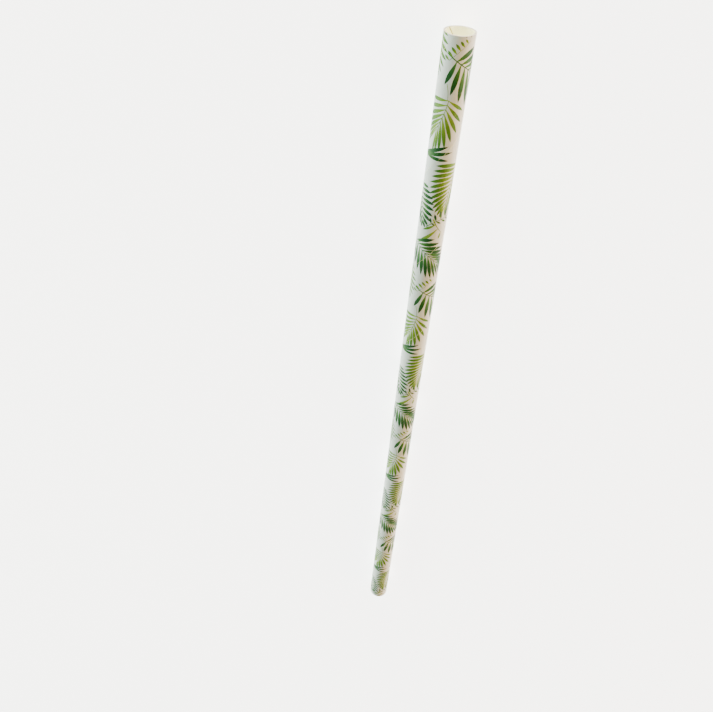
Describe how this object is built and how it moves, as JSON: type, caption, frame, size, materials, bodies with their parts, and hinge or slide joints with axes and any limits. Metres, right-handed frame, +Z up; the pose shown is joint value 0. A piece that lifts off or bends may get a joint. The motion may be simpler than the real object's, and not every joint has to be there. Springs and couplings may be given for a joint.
{
  "type": "paper drinking straw",
  "caption": "Straight round drinking straw of spirally wound paper, open at both square-cut ends and printed with palm fronds.",
  "frame": {"origin": "on the surface that the straw lies on, under the middle of its length", "axes": "+X along the straw towards the end shown open; +Z up from the surface it lies on"},
  "size_m": [0.197, 0.006, 0.006],
  "materials": {
    "printed_paper": "smooth uncoated white paper with green and lime palm-frond print"
  },
  "bodies": {
    "root": {"straw": "printed_paper"}
  },
  "joints": []
}
